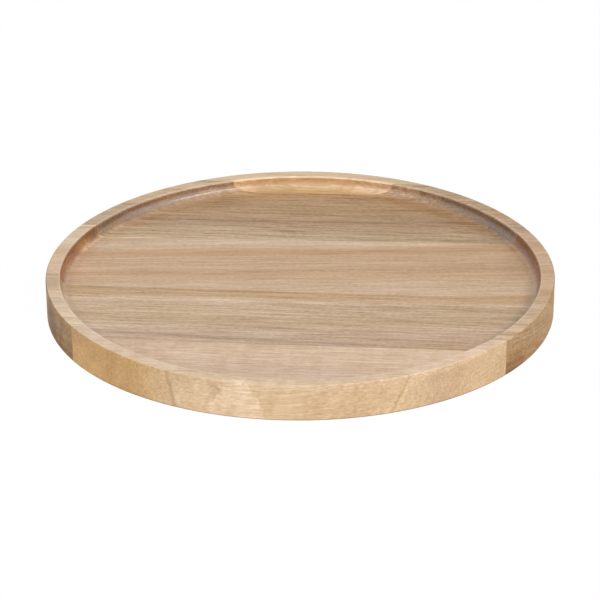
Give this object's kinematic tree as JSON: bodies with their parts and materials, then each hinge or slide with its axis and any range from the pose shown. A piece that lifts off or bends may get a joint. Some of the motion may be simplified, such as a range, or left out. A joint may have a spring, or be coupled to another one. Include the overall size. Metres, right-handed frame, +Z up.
{
  "type": "wooden plate",
  "caption": "Round wooden serving plate turned from edge-glued acacia staves, with a shallow flat recess, coved inner wall, flat rim and an outer wall that leans in slightly towards the foot.",
  "frame": {"origin": "centre of the flat underside, on the surface that the plate stands on", "axes": "+Z up out of the recess; +X along the grain of the staves; -Y towards the front of the plate in the picture"},
  "size_m": [0.32, 0.32, 0.024],
  "materials": {
    "acacia_honey": "satin oiled",
    "acacia_brown": "satin oiled",
    "acacia_pink": "satin oiled",
    "acacia_olive": "satin oiled",
    "acacia_blond": "satin oiled",
    "wood_glue": "matt"
  },
  "bodies": {
    "root": {"back_stave": "acacia_honey", "rear_stave": "acacia_brown", "middle_stave": "acacia_pink", "fore_stave": "acacia_olive", "front_stave": "acacia_blond", "back_glue_line": "wood_glue", "rear_glue_line": "wood_glue", "middle_glue_line": "wood_glue", "fore_glue_line": "wood_glue"}
  },
  "joints": []
}
